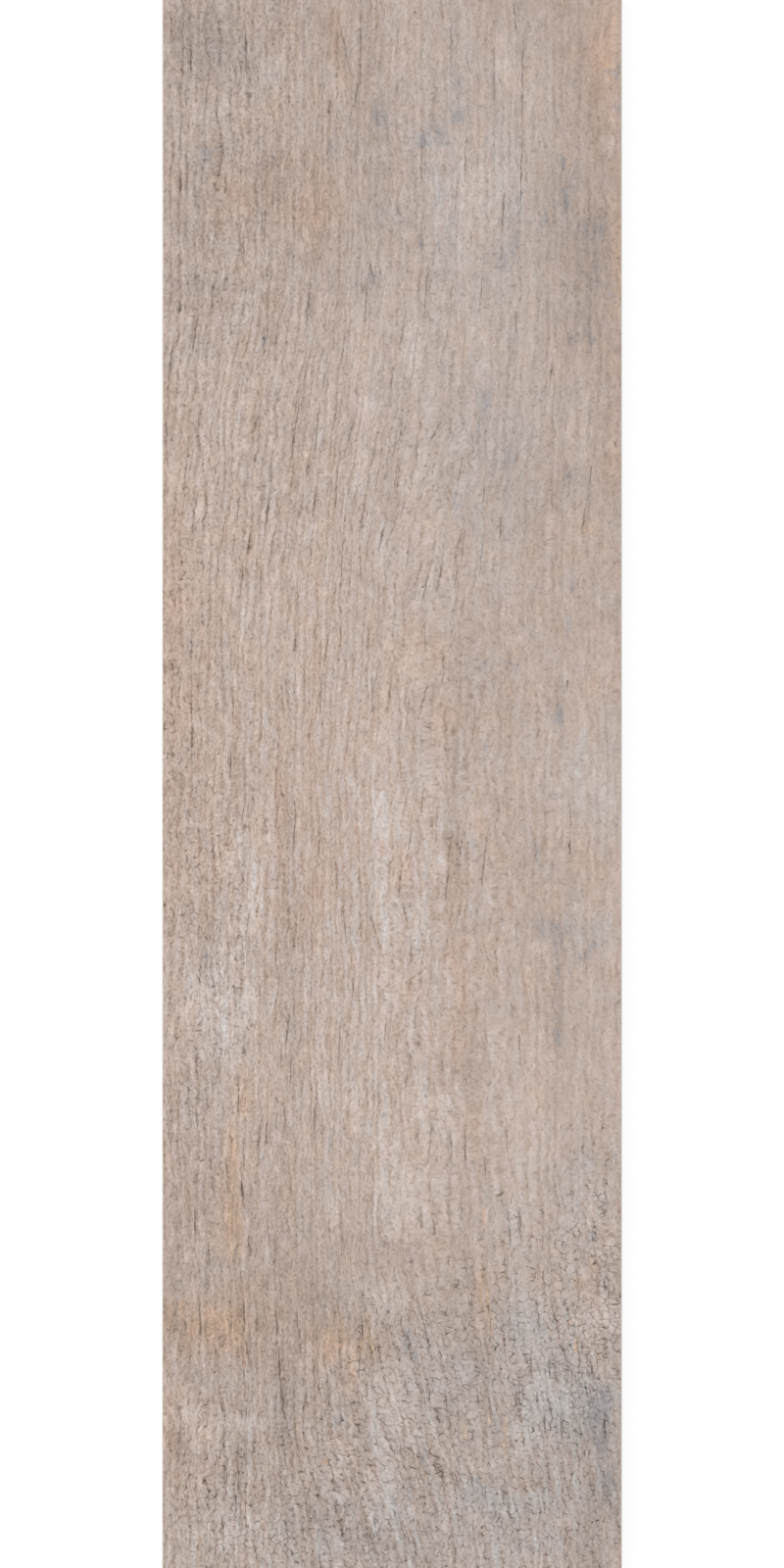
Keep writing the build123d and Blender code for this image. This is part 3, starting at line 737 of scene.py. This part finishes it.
def printed_glaze():
    """Matt glazed porcelain, printed by ink jet under the glaze and fired: weathered, limed oak."""
    # To the eye it is old wood, dry and pale, with the paint crazed and worn through in places. All
    # of that is ink, so the sheen stays even and low, and only the pressed grain catches the light.
    material, tree = new_material("matt_glaze_printed_as_limed_oak")
    in_mm = place_in_mm(tree)
    painted = {}
    layers = ["across_grain", "tone", "warmth", "coarse", "brown", "pores", "crazing"]
    layers += ["plates", "limewash", "bare_wood", "stain", "check_side", "check_dark"]
    for name in layers:
        painted[name] = add_node(tree, "ShaderNodeAttribute", {}, attribute_name=name)["Fac"]
    along = add_node(tree, "ShaderNodeSeparateXYZ", {0: in_mm})[1]
    place = add_node(tree, "ShaderNodeCombineXYZ", {0: painted["across_grain"], 1: along})[0]
    wavy = shaken(tree, place)

    # Worn and stained places take their soft patches, with edges frayed by noise along the grain.
    fibre = grain_noise(tree, wavy, 1.0, 7.0, 41, 3.0, 0.6)
    bare = cut_softly(tree, -0.6, [(fibre, 1.2), (painted["bare_wood"], 1.0)], 0.38, 0.56)
    flecks = grain_noise(tree, wavy, 1.6, 3.5, 42, 3.0, 0.65)
    lime = cut_softly(tree, -0.5, [(flecks, 1.0), (painted["limewash"], 0.9)], 0.15, 0.5)
    blots = grain_noise(tree, wavy, 1.6, 5.0, 43, 3.0, 0.65)
    stain = cut_softly(tree, -0.8, [(blots, 1.6), (painted["stain"], 0.9)], 0.15, 0.85)

    # Open pores are dark hairlines in dashes, and run on further where the grain is open.
    uneven = grain_noise(tree, place, 14, 30, 46)
    open_grain = centred(tree, [(uneven, 1.2)], [(painted["pores"], 1.0)])
    lines = grain_line(tree, wavy, LINE_GAP_MM, 0.42, 2.8, LINE_SEED, open_grain)
    uneven = grain_noise(tree, place, 10, 24, 47)
    fine_grain = centred(tree, [(uneven, 1.6)], [(painted["pores"], 1.0)])
    finer_lines = grain_line(tree, wavy, FINER_GAP_MM, 0.34, 2.0, FINER_SEED, fine_grain)
    ridge = on_ridge(tree, wavy)

    # Real crazing is hairs of 0.05 to 0.1 mm. They are drawn about 0.3 mm wide and more, so that
    # they hold at this distance, and they gather along the grain's lines.
    unevenness = [
        grain_noise(tree, wavy, 1.6, 3.0, 52, 2.0, 0.6),
        grain_noise(tree, wavy, 4.7, 8.0, 53, 2.0, 0.6),
    ]
    cracks = crackle(tree, wavy, CRAZED_CELL_MM, 1.6, 0.6, 0.15, unevenness, painted["crazing"])
    cracks = masked(tree, cracks, [mixed_in(tree, 1.3, [(ridge, -0.55)])])
    plates = crackle(tree, wavy, PLATE_MM, 1.0, 0.3, 0.3, unevenness, painted["plates"])

    # The marked checks are jagged, and thick and thin by turns.
    jag = grain_noise(tree, in_mm, 1.5, 2.5, 44, 1.0)
    beside = mixed_in(tree, -0.5, [(jag, 1.0), (painted["check_side"], 1.0)])
    off_check = add_node(tree, "ShaderNodeMath", {0: beside}, operation="ABSOLUTE")[0]
    thick = grain_noise(tree, in_mm, 1.5, 4.0, 45, 1.0)
    checks = cut_softly(tree, off_check, [(thick, -0.5)], 0.2, -0.2)
    checks = masked(tree, checks, [painted["check_dark"]])

    # Lightness as a share of the face's own, one layer on another. Noise is even about a half.
    tooth = [(grain_noise(tree, wavy, 0.9, 1.1, 11, 0.0), 0.17)]
    grooves = masked(tree, centred(tree, tooth, [(lines, -0.17)]), [painted["coarse"]])
    hollows = mixed_in(tree, grooves, [(cracks, -0.36), (plates, -0.3), (checks, -0.36)])
    spots = cut_softly(tree, grain_noise(tree, wavy, 1.0, 1.7, 37, 1.0), [], 0.56, 0.72)
    noises = [
        (grain_noise(tree, wavy, 1.2, 4.0, 12, 1.0), 0.16),
        (grain_noise(tree, wavy, 2.2, 5.0, 15, 1.0), 0.17),
        (grain_noise(tree, wavy, 1.7, 14.0, 13, 1.0), 0.12),
    ]
    fine = centred(tree, noises, [(finer_lines, -0.11), (spots, -0.14)])
    grit = mixed_in(tree, hollows, [(fine, painted["coarse"])])
    noises = [
        (grain_noise(tree, wavy, 4.0, 8.0, 14, 2.0), 0.14),
        (grain_noise(tree, wavy, 2.8, 24.0, 16, 1.0), 0.15),
    ]
    streaks = masked(tree, centred(tree, noises, [(ridge, 0.05)]), [painted["coarse"]])
    noises = [
        (grain_noise(tree, place, 8, 60, 21), 0.08),
        (grain_noise(tree, place, 20, 100, 22), 0.05),
    ]
    broad = centred(tree, noises, [])
    layers_on = [
        (broad, 1.0),
        (painted["tone"], 0.01),
        (lime, 0.07),
        (bare, -0.15),
        (masked(tree, bare, [fibre]), 0.28),
        (streaks, 1.0),
        (grit, 1.0),
    ]
    lightness = mixed_in(tree, 0.97, layers_on)
    # Shares of lightness as the eye sees it become shares of light.
    light_share = add_node(tree, "ShaderNodeMath", {0: lightness, 1: 2.2}, operation="POWER")[0]

    # Dark grain is brown and pale ridges are greyer, and the more so the broader they are.
    grain = masked(tree, mixed_in(tree, grit, [(streaks, 3.0)]), [painted["brown"]])
    tints = [
        (grain_noise(tree, place, 5.0, 12.0, 61, 1.0), 12.0),
        (grain_noise(tree, place, 9.0, 24.0, 62), 10.0),
        (painted["warmth"], 0.9),
        (lime, -5.0),
        (grain, -27.0),
        (broad, -90.0),
    ]
    inputs = {"Value": mixed_in(tree, -1.0, tints), "From Min": -12.0, "From Max": 48.0}
    warmth = add_node(tree, "ShaderNodeMapRange", inputs)[0]
    colour = add_node(tree, "ShaderNodeValToRGB", {0: warmth})[0]
    stops = colour.node.color_ramp.elements
    stops[0].color = linear("#b2adab")
    stops[1].color = linear("#d5aa8c")
    for position, ink in [(1 / 3, "#bfaca1"), (2 / 3, "#caab97")]:
        stop = stops.new(position)
        stop.color = linear(ink)
    worn = masked(tree, bare, [mixed_in(tree, 0.05, [(fibre, 1.0)])])
    for share, ink in [(worn, "#caab91"), (masked(tree, stain, [0.75]), "#a09a9a")]:
        inputs = {"Factor": share, "A": colour, "B": linear(ink)}
        colour = add_node(tree, "ShaderNodeMix", inputs, data_type="RGBA")["Result"]
    surfaced(tree, colour, light_share, 0.55, hollows, GRAIN_DEPTH_MM * MM, 0.5)
    return material


def fired_body():
    """Unglazed porcelain: pressed clay and feldspar, fired hard, with edges ground true."""
    # To the eye it is dull, stony and faintly speckled, a little darker and warmer than chalk.
    material, tree = new_material("porcelain_body_pressed_fired_and_ground")
    in_mm = place_in_mm(tree)
    height = add_node(tree, "ShaderNodeSeparateXYZ", {0: in_mm})[2]

    # Spray-dried grains of clay, about 0.4 mm across, fired together. They show as a faint pepper,
    # drawn at 0.9 mm so that it holds at a distance. Over it, the soft clouds of a filled press.
    grains = solid_noise(tree, in_mm, (0.9, 0.9, 0.9), 3)
    clouds = solid_noise(tree, in_mm, (22, 30, 22), 4)
    # The grinding wheel runs along the edge, so its scratches are level, and only the edges show
    # them.
    scratches = solid_noise(tree, in_mm, (18, 18, 0.22), 5)
    scratches = masked(tree, scratches, [cut_softly(tree, height, [], 0.7, 1.2)])
    lightness = mixed_in(tree, 0.82, [(grains, 0.24), (clouds, 0.08), (scratches, 0.16)])

    # White wash from the kiln's rollers rubs off on the ribs, in streaks along the way of travel.
    rollers = solid_noise(tree, in_mm, (5, 60, 5), 6)
    rubbed = cut_softly(tree, rollers, [], 0.4, 0.62)
    in_grains = cut_softly(tree, grains, [], 0.3, 0.6)
    on_ribs = cut_softly(tree, height, [], 0.12, 0.02)
    wash = masked(tree, rubbed, [in_grains, on_ribs])
    # Under the glaze lies a coat of white engobe, cut through by the bevel as a pale hairline.
    face_height = TOP / MM
    engobe = cut_softly(tree, height, [], face_height - 0.36, face_height - 0.28)
    white = add_node(tree, "ShaderNodeMath", {0: wash, 1: engobe}, operation="MAXIMUM")[0]
    share = masked(tree, white, [0.7])
    inputs = {"Factor": share, "A": linear("#c6bbb0"), "B": linear("#e2dcd3")}
    clay = add_node(tree, "ShaderNodeMix", inputs, data_type="RGBA")["Result"]
    relief = mixed_in(tree, 0.0, [(grains, 0.6), (scratches, 1.0)])
    surfaced(tree, clay, lightness, 0.7, relief, 0.05 * MM, 0.4)
    return material


def give_materials(tile):
    """Glaze on the face, and bare body on its ground bevels, sides and back."""
    mesh = tile.data
    mesh.materials.clear()
    mesh.materials.append(printed_glaze())
    mesh.materials.append(fired_body())
    up = read_rows(mesh.polygons, "normal")[:, 2] > FACE_RISE
    slots = np.where(up, 0, 1)
    mesh.polygons.foreach_set("material_index", slots.astype(np.int32))
    mesh.update()


def lay_out_map(tile):
    """A flat layout of the whole skin in one square, for a picture of the looks: the face in two
    halves side by side, the back turned below them, and the edges as strips in what is left."""
    mesh = tile.data
    corners = np.empty(len(mesh.polygons), dtype=np.int32)
    mesh.polygons.foreach_get("loop_total", corners)
    corner_points = np.empty(len(mesh.loops), dtype=np.int32)
    mesh.loops.foreach_get("vertex_index", corner_points)
    normals = np.repeat(read_rows(mesh.polygons, "normal"), corners, axis=0)
    centres = np.repeat(read_rows(mesh.polygons, "center"), corners, axis=0)
    x, y, z = (read_rows(mesh.vertices, "co")[corner_points] / MM).T
    normal_x, normal_y, normal_z = normals.T
    centre_x, centre_y, centre_z = (centres / MM).T
    # The pockets' leaning walls lie well inside the back's bevel, and belong to the back.
    border = 1.5
    in_width = np.abs(centre_x) < WIDTH / MM / 2 - border
    inside = in_width & (np.abs(centre_y) < LENGTH / MM / 2 - border)
    on_face = normal_z > FACE_RISE
    on_back = (normal_z < -0.9) | ((normal_z < -0.3) & inside)
    on_side = ~on_face & ~on_back & (np.abs(normal_x) > np.abs(normal_y))
    on_end = ~on_face & ~on_back & ~on_side
    # Each part: which corners, then across and up the map, as a start and its rise, in pixels.
    parts = [
        (on_face & (centre_y < 0), 242 + 2.7 * x, 1020 + 2.7 * y),
        (on_face & (centre_y > 0), 726 + 2.7 * x, 210 + 2.7 * y),
        (on_back, 336 + 1.1 * y, 100 + 1.06 * x),
        (on_side & (centre_x < 0), 974 + 2.5 * z, 512 + 1.69 * y),
        (on_side & (centre_x > 0), 1000 + 2.5 * z, 512 + 1.69 * y),
        (on_end & (centre_y < 0), 820 + 1.7 * x, 20 + 2.5 * z),
        (on_end & (centre_y > 0), 820 + 1.7 * x, 60 + 2.5 * z),
    ]
    spots = np.zeros((len(mesh.loops), 2))
    for corners_in, right, up in parts:
        spots[corners_in, 0] = right[corners_in] / MAP_SIDE
        spots[corners_in, 1] = up[corners_in] / MAP_SIDE
    while mesh.uv_layers:
        mesh.uv_layers.remove(mesh.uv_layers[0])
    layer = mesh.uv_layers.new(name="OFBake")
    layer.data.foreach_set("uv", spots.astype(np.float32).ravel())


def build_tile():
    """The whole tile as one closed skin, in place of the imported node."""
    tile = join_back(pressed_blank(), key_pockets())
    paint(tile)
    press_grain(tile)
    give_materials(tile)
    lay_out_map(tile)
    make_active(tile)
    bpy.ops.object.shade_smooth_by_angle(angle=math.radians(30))
    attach(tile, "root")
    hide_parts("porcelain_tile")


def floor_material():
    """A plain pale floor that shows white and keeps the tile's shadow."""
    # To the eye it is white paper, on which only the soft shadow at the tile's edge shows.
    material, tree = new_material("matt_white_paper_floor")
    seen_glow = 0.86
    rays = add_node(tree, "ShaderNodeLightPath", {})
    inputs = {0: rays["Is Camera Ray"], 1: rays["Is Glossy Ray"]}
    seen = add_node(tree, "ShaderNodeMath", inputs, operation="MAXIMUM")[0]
    matt = add_node(tree, "ShaderNodeBsdfDiffuse", {"Color": linear("#7c7c7c")})[0]
    inputs = {"Color": linear("#ffffff"), "Strength": masked(tree, seen, [seen_glow])}
    glow = add_node(tree, "ShaderNodeEmission", inputs)[0]
    both = add_node(tree, "ShaderNodeAddShader", {0: matt, 1: glow})[0]
    add_node(tree, "ShaderNodeOutputMaterial", {"Surface": both})
    return material


def lay_floor():
    """The pale floor that the tile lies on, just clear of its ribs."""
    floor_side = 8
    gap = 0.05 * MM
    deselect_all()
    bpy.ops.mesh.primitive_plane_add(size=floor_side, location=(0, 0, -gap))
    floor = bpy.context.object
    floor.name = "floor"
    floor.data.materials.append(floor_material())


def light_softly():
    """An even white room, and one broad soft lamp from the upper left that brings out the relief."""
    room_light = 0.68
    world = bpy.data.worlds.new("white_room")
    bpy.context.scene.world = world
    world.use_nodes = True
    tree = world.node_tree
    tree.nodes.clear()
    seen = add_node(tree, "ShaderNodeLightPath", {})["Is Camera Ray"]
    inputs = {"Value": seen, "To Min": room_light, "To Max": 1.0}
    strength = add_node(tree, "ShaderNodeMapRange", inputs)[0]
    inputs = {"Color": linear("#ffffff"), "Strength": strength}
    room = add_node(tree, "ShaderNodeBackground", inputs)[0]
    add_node(tree, "ShaderNodeOutputWorld", {"Surface": room})
    lamp_data = bpy.data.lights.new("softbox", "AREA")
    lamp_data.shape = "SQUARE"
    lamp_data.size = 2.0
    lamp_data.energy = 75
    lamp = bpy.data.objects.new("softbox", lamp_data)
    bpy.context.collection.objects.link(lamp)
    lamp.location = (-2.4, 1.6, 3.0)
    lamp.rotation_euler = (-lamp.location).to_track_quat("-Z", "Y").to_euler()


def aim_camera():
    """Straight down on the face, from far enough that the long lens shows no slope."""
    camera_data = bpy.data.cameras.new("camera")
    camera_data.lens = 110
    camera_data.sensor_width = 36
    camera = bpy.data.objects.new("camera", camera_data)
    bpy.context.collection.objects.link(camera)
    distance = SEEN_LENGTH * camera_data.lens / camera_data.sensor_width
    camera.location = (0, 0, TOP + distance)
    camera.rotation_euler = (0, 0, 0)
    bpy.context.scene.camera = camera


build_tile()
lay_floor()
light_softly()
aim_camera()
bpy.context.scene.view_settings.view_transform = "Standard"
